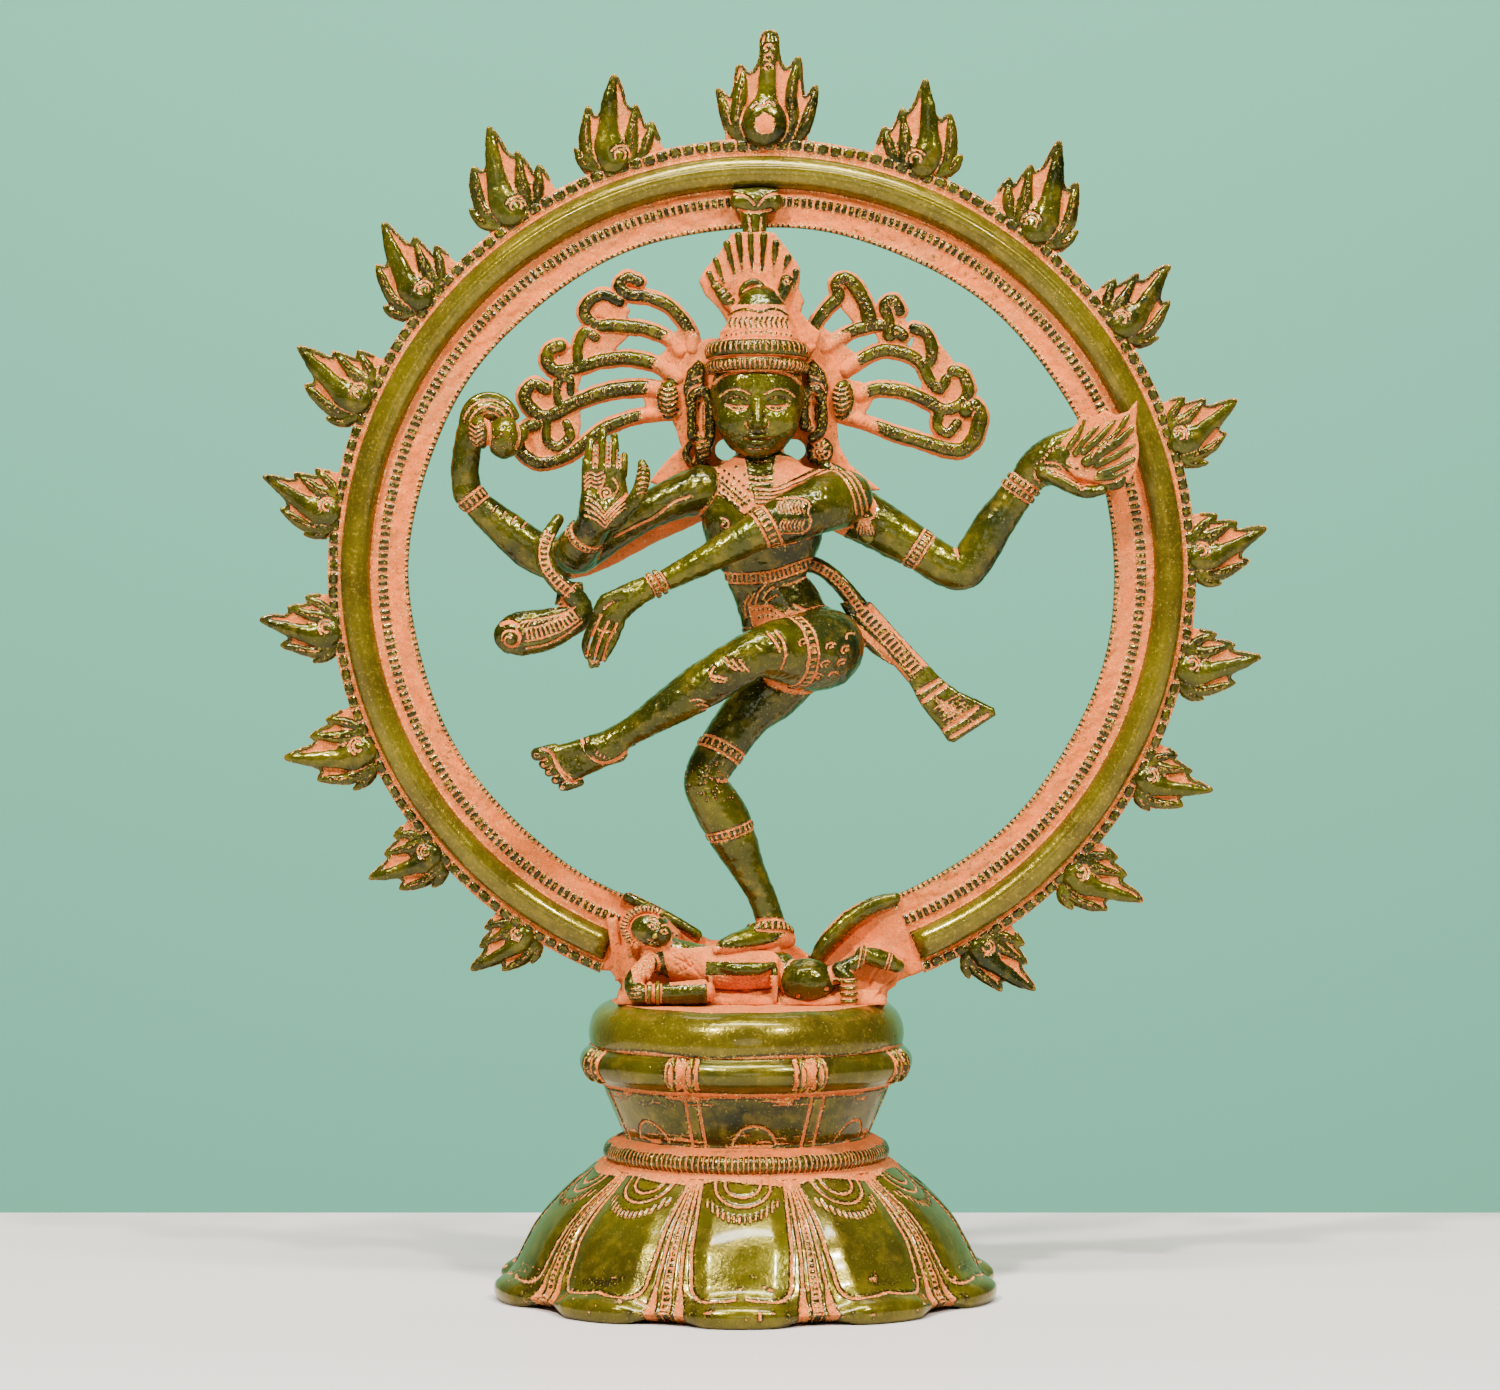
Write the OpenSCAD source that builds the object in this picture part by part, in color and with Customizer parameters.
// Dancing figure in a ring of flames on a lotus pedestal, cast brass. Millimetres.
// +Z is up, the figure faces -Y, and the origin is the middle of the pedestal's flat foot.

/* [Pedestal] */
// Diameter across the upturned tips of the lotus petals
lip_d = 183; // [176:1:190]
// Height of the flat seat above the table
seat_h = 106; // [104:1:108]
// Wall of the hollow pedestal castings
wall = 3; // [2.5:0.5:3.5]
// Petals round the lotus skirt
petals = 10; // [8:1:12]
// Pairs of beads round the rim band
bead_pairs = 8; // [6:1:10]
// Double ribs round the waist drum
drum_ribs = 7; // [5:1:9]
// Beads round the collar
collar_beads = 60; // [48:1:64]

/* [Arch] */
// Radius of the arch at the middle of its half-round roll
arch_r = 146; // [144:1:148]
// Radius of the half-round roll
roll_r = 5.4; // [5:0.1:5.8]
// Width of the flange outside the roll
outer_flange = 6.2; // [5.5:0.1:7]
// Width of the flange inside the roll
inner_flange = 12.6; // [11:0.1:13]
// Thickness of the flanges
flange_t = 4; // [3.5:0.1:4.5]
// Half of the opening at the foot of the arch, in degrees
gap_half = 22; // [21:0.5:23]
// Sideways offset of the arch from the middle of the pedestal
arch_x = 5.8; // [4:0.1:7]
// Height of the arch's centre above the table
arch_z = 261.6; // [260:0.1:263]

/* [Flames] */
// Flames on each side of the arch, without the one at the top
side_flames = 9; // [7:1:9]
// Angle from the top of the arch to the first side flame
first_flame = 19.6; // [18:0.1:21]
// Angle between side flames
flame_pitch = 16; // [15:0.1:16.2]
// Height of the highest side flame
flame_h = 31; // [28:0.5:33]
// How much shorter each lower flame is
flame_step = 1.25; // [0.5:0.05:1.5]
// Height of the top flame
top_flame_h = 37.4; // [34:0.1:40]
// Width of a side flame
flame_w = 22; // [20:0.5:23]
// Thickness of a flame's plate
flame_t = 3.2; // [2.5:0.1:4]

/* [Fixings] */
// Diameter of the stud that holds the plinth on the pedestal
stud_d = 8; // [6:0.5:10]
// Diameter of the rivets through the arch's tangs
rivet_d = 4; // [3:0.5:5]
// Gap round a tang or a fixing in its hole
fit_gap = 0.15; // [0.1:0.05:0.3]

/* [Hidden] */
side_list = [for (side = ["left", "right"], k = [1 : side_flames]) str("flame_", side, "_", k)];
$fn = 64;

brass = "olivedrab";
clay = "salmon";
steel = "silver";

lip_r = lip_d / 2;
skirt_top = 47;
collar_top = 56;
drum_top = 77;
rim_top = 90;
arch_out = arch_r + roll_r + outer_flange;
arch_in = arch_r - roll_r - inner_flange;
arch_back = 9;
arch_front = arch_back - flange_t;
tang_half = 6;
tang_deg = 5;

// ---------- swept limbs: one closed skin through stations [x, y, z, half width, half depth] ----------
function unit(v) = v / norm(v);
function place(s) = [s[0], s[1], s[2]];
function heading(st, i) =
    i == 0 ? unit(place(st[1]) - place(st[0]))
    : i == len(st) - 1 ? unit(place(st[i]) - place(st[i - 1]))
    : unit(unit(place(st[i + 1]) - place(st[i])) + unit(place(st[i]) - place(st[i - 1])));
// the width lies in the plane of the arch, and the depth lies across it
function across(t) = norm(cross(t, [0, 1, 0])) < 0.15 ? [1, 0, 0] : unit(cross(t, [0, 1, 0]));
function section(s, t, sides) =
    let (u = across(t), v = unit(cross(u, t)))
    [for (k = [0 : sides - 1])
        place(s) + u * s[3] * cos(360 * k / sides) + v * s[4] * sin(360 * k / sides)];
function stretch(s, t, along, share) =
    concat(place(s) + t * along * min(s[3], s[4]), [s[3] * share, s[4] * share]);

module limb(st, sides = 14, round_start = true, round_end = true) {
    last = len(st) - 1;
    t0 = -heading(st, 0);
    t1 = heading(st, last);
    full = concat(
        round_start ? [stretch(st[0], t0, 0.9, 0.42), stretch(st[0], t0, 0.55, 0.82)] : [],
        st,
        round_end ? [stretch(st[last], t1, 0.55, 0.82), stretch(st[last], t1, 0.9, 0.42)] : []);
    rings = len(full);
    points = [for (i = [0 : rings - 1]) each section(full[i], heading(full, i), sides)];
    walls = [for (i = [0 : rings - 2], k = [0 : sides - 1])
        let (a = i * sides + k, b = i * sides + (k + 1) % sides)
        each [[a, b, b + sides], [a, b + sides, a + sides]]];
    start_cap = [for (k = [sides - 1 : -1 : 0]) k];
    end_cap = [for (k = [0 : sides - 1]) (rings - 1) * sides + k];
    polyhedron(points, concat(walls, [start_cap], [end_cap]), convexity = 6);
}

// a flat ornament drawn in the arch's plane, from y_front back by t
module plate(y_front, t) {
    translate([0, y_front + t, 0]) rotate([90, 0, 0]) linear_extrude(t) children();
}

// ---------- pedestal ----------
// outer line of the lotus skirt, from the foot up, as [radius, height]
skirt_lip = [[lip_r - 4, 0], [lip_r - 1.2, 2.2], [lip_r, 5.4], [lip_r - 2.5, 6.4]];
skirt_slope = [[lip_r - 6, 8.6], [lip_r - 9, 13], [lip_r - 12.5, 20], [lip_r - 16.6, 27], [lip_r - 23, 34],
    [lip_r - 31, 41]];
skirt_neck = [lip_r - 38.5, skirt_top];
function reversed(line) = [for (k = [len(line) - 1 : -1 : 0]) line[k]];
function moved(line, by) = [for (p = line) p + by];

module lotus_skirt() {
    petal_deg = 25;
    petal_proud = 0.9;
    petal_sunk = 0.32;
    foot_land = 4.5;
    neck_land = 8;
    petal_line = concat([skirt_lip[len(skirt_lip) - 1]], skirt_slope);
    inner = reversed(concat(moved(skirt_lip, [-wall - foot_land, 0]),
        moved(concat(skirt_slope, [skirt_neck]), [-wall * 1.2, -wall * 0.6])));
    color(brass) {
        rotate_extrude()
            polygon(concat(skirt_lip, skirt_slope, [skirt_neck, skirt_neck - [neck_land, 0]], inner));
        for (k = [0 : petals - 1])
            rotate([0, 0, k * 360 / petals - 90 - petal_deg / 2])
                rotate_extrude(angle = petal_deg)
                    polygon(concat(moved(petal_line, [-petal_sunk, 0]),
                        reversed(moved(petal_line, [petal_proud, petal_proud * 0.6]))));
    }
}

module beaded_collar() {
    inner_r = 40;
    top_r = 45.5;
    band_r = 49.6;
    ledge = 1.6;
    band_h = 5;
    bead_h = 4.6;
    bead_r = 1.3;
    color(brass) difference() {
        union() {
            translate([0, 0, skirt_top]) cylinder(h = ledge, r = band_r + ledge);
            translate([0, 0, skirt_top + ledge]) cylinder(h = band_h, r = band_r);
            translate([0, 0, skirt_top + ledge + band_h])
                cylinder(h = collar_top - skirt_top - ledge - band_h, r1 = band_r, r2 = top_r);
            for (k = [0 : collar_beads - 1])
                rotate([0, 0, k * 360 / collar_beads])
                    translate([band_r, 0, skirt_top + ledge]) cylinder(h = bead_h, r = bead_r, $fn = 16);
        }
        translate([0, 0, skirt_top - 1]) cylinder(h = collar_top - skirt_top + 2, r = inner_r);
    }
}

module waist_drum() {
    foot_r = 44.3;
    head_r = 52.4;
    rib_half = 2.6;
    rib_w = 1.6;
    rib_proud = 0.6;
    first_rib = -86;
    height = drum_top - collar_top;
    lean = atan((head_r - foot_r) / height);
    color(brass) difference() {
        union() {
            translate([0, 0, collar_top]) cylinder(h = height, r1 = foot_r, r2 = head_r);
            for (k = [0 : drum_ribs - 1], side = [-rib_half, rib_half])
                rotate([0, 0, first_rib + (k + 0.5) * 360 / drum_ribs + side])
                    translate([foot_r, 0, collar_top]) rotate([0, lean, 0])
                        translate([-rib_proud, -rib_w / 2, 0.3])
                            cube([2 * rib_proud, rib_w, height / cos(lean) - 0.6]);
        }
        translate([0, 0, collar_top - 0.5]) cylinder(h = height + 1, r1 = foot_r - wall, r2 = head_r - wall);
    }
}

module rim_band() {
    roll = 5.6;
    mid_r = 54.8;
    mid_z = (drum_top + rim_top) / 2 + 0.4;
    bead_half = 2.4;
    bead_r = 1.25;
    bead_wrap = 160;
    color(brass) {
        rotate_extrude() union() {
            translate([mid_r, mid_z]) circle(roll);
            translate([mid_r - roll, drum_top]) square([roll + 2, rim_top - drum_top]);
        }
        for (k = [0 : bead_pairs - 1], side = [-bead_half, bead_half])
            rotate([0, 0, -90 + (k + 0.5) * 360 / bead_pairs + side])
                translate([mid_r, 0, mid_z]) rotate([90, 0, 0])
                    rotate([0, 0, -bead_wrap / 2]) rotate_extrude(angle = bead_wrap)
                        translate([roll - 0.3, 0]) circle(bead_r, $fn = 16);
    }
}

seat_t = 5;

// a shallow drum with a broad rounded shoulder
module seat_dome() {
    side_r = 56.6;
    shoulder = 8.5;
    color(brass) difference() {
        rotate_extrude() union() {
            translate([0, rim_top]) square([side_r - shoulder, seat_h - rim_top]);
            translate([0, rim_top]) square([side_r - 0.4, seat_h - rim_top - shoulder]);
            intersection() {
                translate([side_r - shoulder - 0.4, seat_h - shoulder]) circle(shoulder);
                translate([side_r - shoulder - 1, rim_top]) square([shoulder + 2, seat_h - rim_top]);
            }
        }
        translate([0, 0, rim_top - 1]) cylinder(h = seat_h - rim_top - seat_t + 1, r = side_r - shoulder);
        translate([0, 0, rim_top]) cylinder(h = seat_h - rim_top + 1, r = stud_d / 2 + fit_gap);
    }
}

// ---------- fixings ----------
nut_h = 6.5;
washer_t = 1.6;
seat_under = seat_h - seat_t;
stud_end = 3;
stud_foot = seat_under - washer_t - nut_h - stud_end;
stud_depth = 9;

module plinth_stud() {
    color(steel) translate([0, 0, stud_foot]) cylinder(h = seat_h + stud_depth - stud_foot - 0.2, d = stud_d);
}

module stud_washer() {
    color(steel) translate([0, 0, seat_under - washer_t]) difference() {
        cylinder(h = washer_t, d = stud_d * 2.2);
        translate([0, 0, -1]) cylinder(h = washer_t + 2, d = stud_d + 0.4);
    }
}

module stud_nut() {
    color(steel) translate([0, 0, seat_under - washer_t - nut_h]) difference() {
        cylinder(h = nut_h, d = stud_d * 1.85, $fn = 6);
        translate([0, 0, -1]) cylinder(h = nut_h + 2, d = stud_d + 0.1);
    }
}

// puts a child at an angle from the top of the arch, clockwise, with the child's +Y pointing outwards
module on_arch(angle) {
    translate([arch_x, 0, arch_z]) rotate([0, angle, 0]) rotate([90, 0, 0]) children();
}

rivet_at = 180 - gap_half + tang_deg / 2;
rivet_l = 7.2;
lug_back = arch_back + 3;
lug_front = arch_front - 2.5;

// rivets put in from behind, or their holes when drawn wider and longer
module rivets(d, l) {
    for (s = [-1, 1])
        on_arch(s * rivet_at) translate([0, arch_r, -lug_back]) cylinder(h = l, d = d);
}

module tang_rivets() {
    color(steel) rivets(rivet_d, rivet_l);
}

// ---------- plinth with the lugs that hold the arch ----------
function arch_foot(s, r) = [arch_x + s * r * sin(gap_half), arch_z - r * cos(gap_half)];

// the flat tangs that continue the arch's flange into the plinth's lugs
module tangs(gap, length) {
    for (s = [0, 1])
        translate([arch_x, 0, arch_z]) mirror([s, 0, 0]) rotate([90, 0, 0])
            rotate([0, 0, -90 + gap_half - length])
                rotate_extrude(angle = length + 0.2, $fn = 180)
                    translate([arch_r - tang_half - gap, -arch_back + 0.6 - gap])
                        square([2 * tang_half + 2 * gap, flange_t - 1.2 + 2 * gap]);
}

module plinth_blank() {
    slab_front = -22;
    slab_back = 16;
    slab = [[-47, seat_h], [-45, seat_h + 7], [-40, seat_h + 10], [40, seat_h + 10],
        [50, seat_h + 5], [51, seat_h]];
    lugs = [[-45, seat_h], [-46, seat_h + 4], arch_foot(-1, arch_out), arch_foot(-1, arch_in),
        [-30, 139], [-24, 134], [-17, 127], [-8, 119], [14, 119], [18, 123], [24, 121], [31, 128],
        arch_foot(1, arch_in), arch_foot(1, arch_out), [52, seat_h + 3], [51, seat_h]];
    plate(slab_front, slab_back - slab_front) polygon(slab);
    plate(lug_front, lug_back - lug_front) polygon(lugs);
}

module demon_plinth() {
    color(clay) difference() {
        plinth_blank();
        tangs(fit_gap, tang_deg + 0.3);
        rivets(rivet_d + 0.1, rivet_l + 0.2);
        translate([0, 0, seat_h - 1]) cylinder(h = stud_depth + 1, d = stud_d + 2 * fit_gap);
    }
}

// ---------- flaming arch ----------
module arch_ring() {
    cord_w = 1.8;
    ladder_w = 3.4;
    relief = 0.9;
    color(brass) difference() {
        union() {
            translate([arch_x, 0, arch_z]) rotate([90, 0, 0]) rotate([0, 0, -90 + gap_half])
                rotate_extrude(angle = 360 - 2 * gap_half, $fn = 180) union() {
                    translate([arch_in, -arch_back]) square([arch_out - arch_in, flange_t]);
                    intersection() {
                        translate([arch_r, -arch_front]) circle(roll_r);
                        translate([arch_r - 10, -arch_front - 0.5]) square(20);
                    }
                    translate([arch_out - 2.2, -arch_front - 0.2]) square([cord_w, relief]);
                    translate([arch_r - roll_r - 6.6, -arch_front - 0.2]) square([ladder_w, relief]);
                }
            tangs(0, tang_deg);
        }
        rivets(rivet_d + 0.1, rivet_l + 2);
    }
}

// flame outlines as shares of the flame's width and height, from the root round to the root
flame_line = [[-0.36, 0], [-0.5, 0.16], [-0.55, 0.46], [-0.38, 0.34], [-0.24, 0.74], [-0.1, 0.56],
    [0.1, 1], [0.2, 0.55], [0.38, 0.66], [0.42, 0.38], [0.55, 0.4], [0.5, 0.14], [0.38, 0]];
tongue_line = [[-0.2, 0.04], [-0.28, 0.2], [-0.18, 0.4], [0.02, 0.66], [0.09, 0.95], [0.14, 0.6],
    [0.16, 0.3], [0.26, 0.18], [0.18, 0.04]];
top_line = [[-0.36, 0], [-0.5, 0.18], [-0.64, 0.48], [-0.4, 0.42], [-0.37, 0.7], [-0.16, 0.62],
        [-0.1, 0.94],
    [0, 1], [0.12, 0.92], [0.2, 0.66], [0.46, 0.78], [0.46, 0.46], [0.72, 0.52], [0.56, 0.16], [0.42, 0]];
top_tongue = [[-0.14, 0.03], [-0.3, 0.14], [-0.26, 0.36], [-0.11, 0.44], [-0.07, 0.9], [0.07, 0.92],
    [0.1, 0.44], [0.27, 0.34], [0.28, 0.14], [0.14, 0.03]];
function sized(line, w, h) = [for (p = line) [p[0] * w, p[1] * h]];

// one flame on its own tilted frame, with its root on the edge of the arch
module flame(outline, tongue, w, h) {
    color(brass) translate([0, arch_out + 0.1, -arch_back + 0.3]) {
        linear_extrude(flame_t) polygon(sized(outline, w, h));
        translate([0, 0, flame_t - 0.2]) linear_extrude(2.2) polygon(sized(tongue, w, h));
    }
}

// flames lean towards the top of the arch; side is -1 on the left and 1 on the right
module side_flame(side, k) {
    on_arch(side * (first_flame + (k - 1) * flame_pitch) + 0.6)
        mirror([side > 0 ? 1 : 0, 0, 0])
            flame(flame_line, tongue_line, flame_w, flame_h - (k - 1) * flame_step);
}

module top_flame() {
    on_arch(0.3) flame(top_line, top_tongue, flame_w * 1.15, top_flame_h);
}

// the stub that ties the crown to the inside of the arch
module crown_bracket() {
    color(brass) plate(-2, arch_front + 2)
        polygon([[-2, 390], [8, 390], [7, 394], [11, 400], [-6, 400], [-1, 394]]);
}

// ---------- figure ----------
// neighbouring castings are fitted: where two forms meet, one is cut to the shape of the other
module torso_form() {
    limb([[15, -4, 227, 11.4, 8], [15, -5, 235, 15.6, 10.4], [13.4, -5, 245, 15.2, 10.2],
        [8.4, -5.6, 256, 13.4, 9.6], [7, -6, 264, 15, 10.2], [6.6, -6, 272, 18.4, 11.8],
        [6.2, -6, 280, 21.8, 12.4], [6, -6, 288, 24, 11], [5.8, -6, 294, 18, 9],
        [5, -6, 299.4, 7, 7]], 20, true, false);
}

module torso() {
    color(brass) difference() {
        torso_form();
        rear_right_form();
        front_right_form();
        front_left_form();
        rear_left_form();
        raised_leg_form();
        standing_leg_form();
    }
}

module head() {
    color(brass) limb([[4, -7, 299.4, 5.4, 5.4], [4, -9, 304, 8, 8], [4, -10, 309, 13, 11.5],
        [4, -10, 318, 16.5, 13], [4, -10, 327, 17.4, 13], [4, -10, 334.4, 17.6, 13]], 20, false, false);
}

// diadem, cap and the fan above it
module crown() {
    fan = [[-12, 351], [-17.5, 365], [-15.5, 376], [-9, 384], [-2, 390], [8, 390], [14, 384], [19, 374],
        [19, 364], [16, 352], [22, 344], [20, 338], [-11, 338]];
    color(brass) {
        limb([[4, -11, 334.4, 19, 14.4], [4, -9, 339, 18.4, 12.6], [4, -6, 345, 14, 9.6],
            [4, -4, 352, 11.5, 7]], 20, false, true);
        plate(-2, 6) polygon(fan);
    }
}

nape_y = 4;
nape_left = [[-24, 308], [-26, 318], [-24, 332], [-15, 345]];
nape_right = [[24, 345], [32, 332], [34, 318], [31, 308]];

// flat web behind the neck, with the two round holes beside the chin
module nape_plate() {
    hole_r = 4.2;
    color(clay) difference() {
        plate(nape_y, 4) difference() {
            polygon(concat([[-30, 292]], nape_left, nape_right, [[44, 292]]));
            for (x = [-7.3, 17.5]) translate([x, 306]) circle(hole_r);
        }
        rear_right_form();
        rear_left_form();
    }
}

strand = 1.7;
web_t = 2.4;
module strands(paths) {
    for (p = paths) limb([for (q = p) [q[0], nape_y + 1, q[1], strand, strand]], 10);
}

module hair_left() {
    color(brass) {
        plate(nape_y, web_t) polygon(concat(nape_left,
            [[-18, 350], [-31, 342], [-35, 330], [-35, 316], [-29, 308]]));
        strands([
            [[-19, 346.5], [-21, 351], [-26, 357], [-34, 361], [-43, 361], [-42, 366]],
            [[-27, 341], [-31, 347], [-39, 350], [-50, 351], [-57, 352], [-58, 357], [-53, 360]],
            [[-30, 334], [-37, 337], [-49, 339], [-61, 337], [-70, 335], [-71, 340], [-67, 342]],
            [[-31, 327], [-42, 327], [-52, 325], [-64, 321], [-74, 317], [-78, 322], [-76, 327]],
            [[-30, 319], [-42, 317], [-52, 313], [-60, 307], [-67, 302], [-77, 302], [-82, 307], [-79, 313]]
        ]);
    }
}

module hair_right() {
    color(brass) {
        plate(nape_y, web_t) polygon(concat(nape_right,
            [[37, 308], [44, 316], [44, 330], [39, 342], [26, 352]]));
        strands([
            [[26, 348], [28, 355], [33, 360], [39, 361], [44, 354]],
            [[35, 342], [40, 347], [47, 351], [54, 357], [58, 352]],
            [[39, 337], [46, 340], [54, 341], [63, 339], [68, 344], [65, 348]],
            [[41, 327], [50, 329], [59, 328], [67, 324], [74, 320], [77, 326], [75, 331]],
            [[41, 318], [51, 314], [61, 311], [72, 307], [80, 306], [83, 312], [82, 319]]
        ]);
    }
}

module rear_right_form() {
    limb([[-20, 5, 288, 8.6, 6.8], [-38, 4, 278.6, 8, 6.6], [-56, 2, 269.2, 7.8, 6.4],
        [-71, 0, 265.8, 7.6, 6.4], [-85, -1, 275, 7, 6], [-99, -1.6, 287.4, 5.2, 5]], 14, false, true);
    limb([[-100, -2, 288.4, 5, 4.6], [-101.6, -2.8, 297.6, 5.2, 4.4], [-101, -3.8, 308, 5.2, 4.4],
        [-98.6, -5, 316.4, 5.6, 4.6], [-94, -6.4, 320.6, 4.4, 4], [-87.6, -7.4, 318.4, 3, 3]], 14);
}

module rear_right_arm() {
    color(brass) rear_right_form();
}

module hand_drum() {
    color(brass) difference() {
        limb([[-95, -10, 309, 5.6, 5.6], [-91, -10, 310, 4.6, 4.6], [-87, -10, 310, 6.4, 6.4],
            [-82, -10, 311, 6.6, 6.6]], 16);
        rear_right_form();
    }
}

module front_right_form() {
    limb([[-18, -8, 289.6, 8.8, 8], [-34, -9.6, 283, 7.6, 7.4], [-48, -11.6, 275, 7.8, 7.4],
        [-60.4, -16, 268, 8.2, 7.4], [-59.4, -24.6, 270.6, 7.4, 6.8],
        [-55, -30, 276, 6, 5.6]], 14, false, true);
    limb([[-54, -30, 277, 6, 5], [-50, -31, 287, 9, 4.4], [-49, -31, 298, 8.6, 4],
        [-51, -31, 310, 5.4, 3]], 14);
    limb([[-46, -31, 283, 4, 3.4], [-40, -31, 289, 3, 3], [-37, -31, 298, 2.2, 2.2]], 10);
}

module front_right_arm() {
    color(brass) front_right_form();
}

module cobra() {
    color(brass) difference() {
        limb([[-69, -19, 270, 2.6, 2.6], [-69, -23, 264, 2.8, 2.8], [-65, -24, 256, 3.2, 3],
            [-62, -24, 249, 4, 3], [-60, -22, 244, 5, 3.2], [-65, -21, 238, 6, 3], [-74, -21, 236, 8, 3.2],
            [-82, -21, 236, 7.6, 3.2], [-86, -21, 236, 6.4, 3]], 14);
        front_right_form();
    }
}

module front_left_form() {
    limb([[34, -13, 286.6, 10.4, 9.5], [24, -20.6, 284.2, 10, 9.5], [8, -27, 277.4, 7.8, 7.8],
        [-4, -29, 271.4, 6.2, 6.2], [-16, -30, 265, 5.2, 5.2], [-28, -30, 259, 4.4, 4.4],
        [-36, -30, 255.2, 4.8, 4.4], [-43, -30, 250.6, 6.4, 4.6],
        [-48, -30, 245, 7.2, 4.6], [-52, -30, 237, 5.4, 3.8], [-53.4, -30, 230.6, 3.4, 3]], 16, true, true);
}

module front_left_arm() {
    color(brass) front_left_form();
}

module rear_left_form() {
    limb([[32, 4, 288, 10.4, 7.6], [47, 2.4, 279, 9, 7.2], [62, 0.6, 269.4, 7.8, 6.8],
        [77.4, -0.8, 261, 7.6, 6.8], [86.6, -1.6, 272, 7.4, 6.6], [94.6, -2.4, 284.6, 6.6, 6],
        [102, -3, 294.6, 5.8, 5.2]], 14, false, true);
    limb([[102, -3, 296, 6, 5], [110, -5, 301, 8.6, 4.4], [122, -5, 302, 10.4, 4],
        [132, -5, 300, 8, 3.4]], 14);
}

module rear_left_arm() {
    color(brass) difference() {
        rear_left_form();
        front_left_form();
    }
}

module hand_flame() {
    blaze = [[110, 303], [118, 312], [121, 322], [126, 316], [129, 324], [133, 317], [139, 321], [141, 309],
        [142, 297], [136, 292], [122, 296]];
    color(brass) difference() {
        plate(-11.5, 3) polygon(blaze);
        rear_left_form();
    }
}

module raised_leg_form() {
    limb([[32, -6, 237, 12.6, 12], [26, -13.6, 235, 14, 12.5], [12.6, -26.6, 233.4, 11.2, 10.8],
        [2.4, -33, 231.4, 8.8, 8.8], [-9, -34, 225, 8.3, 8.3], [-22, -33.6, 216.8, 7.4, 7.4],
        [-36, -33, 208, 5.6, 5.6],
        [-48, -32, 201.4, 5.2, 5], [-58, -32, 196.6, 7, 4.6], [-70, -32, 191.6, 7.4, 3]], 16);
}

module raised_leg() {
    color(brass) raised_leg_form();
}

module standing_leg_form() {
    limb([[18, -6, 225, 11.6, 10], [9, -8, 216.6, 10.8, 10], [-2, -11.4, 205.6, 9.4, 9],
        [-10, -14.4, 195.4, 8.4, 8.4],
        [-14.6, -16.6, 186, 8, 8], [-9.6, -14.6, 174.6, 8.8, 8.6], [-2.4, -12, 160.6, 7.4, 7.2],
        [5, -10, 146, 5.4, 5.4],
        [8, -9, 138, 5.2, 5.4], [9, -9, 132, 6.4, 6]], 16);
    limb([[15, -7, 130, 4, 4], [6, -11, 130.5, 5, 5.4], [-3, -17, 129, 4, 5],
        [-9, -21, 127.6, 2.8, 4.4]], 14);
}

module standing_leg() {
    color(brass) difference() {
        standing_leg_form();
        raised_leg_form();
        dwarf_form();
    }
}

module sash() {
    color(brass) difference() {
        union() {
            limb([[18, 2, 263, 3.4, 2.6], [32, 3, 254, 3.6, 2.6], [43, 3, 241, 4.6, 2.6]], 12, false, true);
            limb([[42, 3, 242, 4.6, 2.8], [52, 3, 231, 6, 2.8], [64, 3, 219, 7, 2.8],
        [75, 3, 209, 8.4, 2.8],
                [81, 3, 203, 11, 2.8]], 14, true, false);
            limb([[38, 0, 233, 3, 2.6], [46, 3, 234, 3.4, 2.6]], 10);
        }
        torso_form();
        raised_leg_form();
    }
}

// the dwarf lies on the plinth with its head to the left and its knees drawn up to the right
module dwarf_form() {
    limb([[-33, -16, 128, 5.4, 5.4], [-33, -16, 133, 7.4, 7], [-33, -14, 138, 5, 5]], 14);
    limb([[-33, -15, 123, 6, 6], [-24, -16, 120, 7, 7], [-12, -16, 120, 8.6, 8], [0, -15, 118.6, 7, 7.6],
        [14, -16, 117.4, 8.4, 8], [22, -19, 117, 7.6, 7.6], [28, -21, 117, 6, 6]], 14);
    limb([[-31, -18, 119, 4, 4], [-39, -26, 113, 3.6, 3.6], [-30, -27, 112, 3.6, 3.6],
        [-15, -27, 112.4, 4, 4]], 12);
    limb([[26, -22, 118, 4, 4], [38, -21, 124, 3.6, 3.6], [46, -19, 124, 3.6, 3.6],
        [53, -17, 121, 3, 3]], 12);
    limb([[34, -23, 122, 3, 3], [36, -26, 112, 2.8, 2.8], [33, -28, 109.6, 2.8, 2.6]], 12);
}

module dwarf_figure() {
    color(brass) difference() {
        dwarf_form();
        plinth_blank();
    }
}

lotus_skirt();
beaded_collar();
waist_drum();
rim_band();
seat_dome();
plinth_stud();
stud_washer();
stud_nut();
demon_plinth();
dwarf_figure();
arch_ring();
tang_rivets();
top_flame();
crown_bracket();
torso();
head();
crown();
nape_plate();
hair_left();
hair_right();
rear_right_arm();
hand_drum();
front_right_arm();
cobra();
front_left_arm();
rear_left_arm();
hand_flame();
raised_leg();
standing_leg();
sash();
for (k = [1 : side_flames]) {
    side_flame(-1, k);
    side_flame(1, k);
}
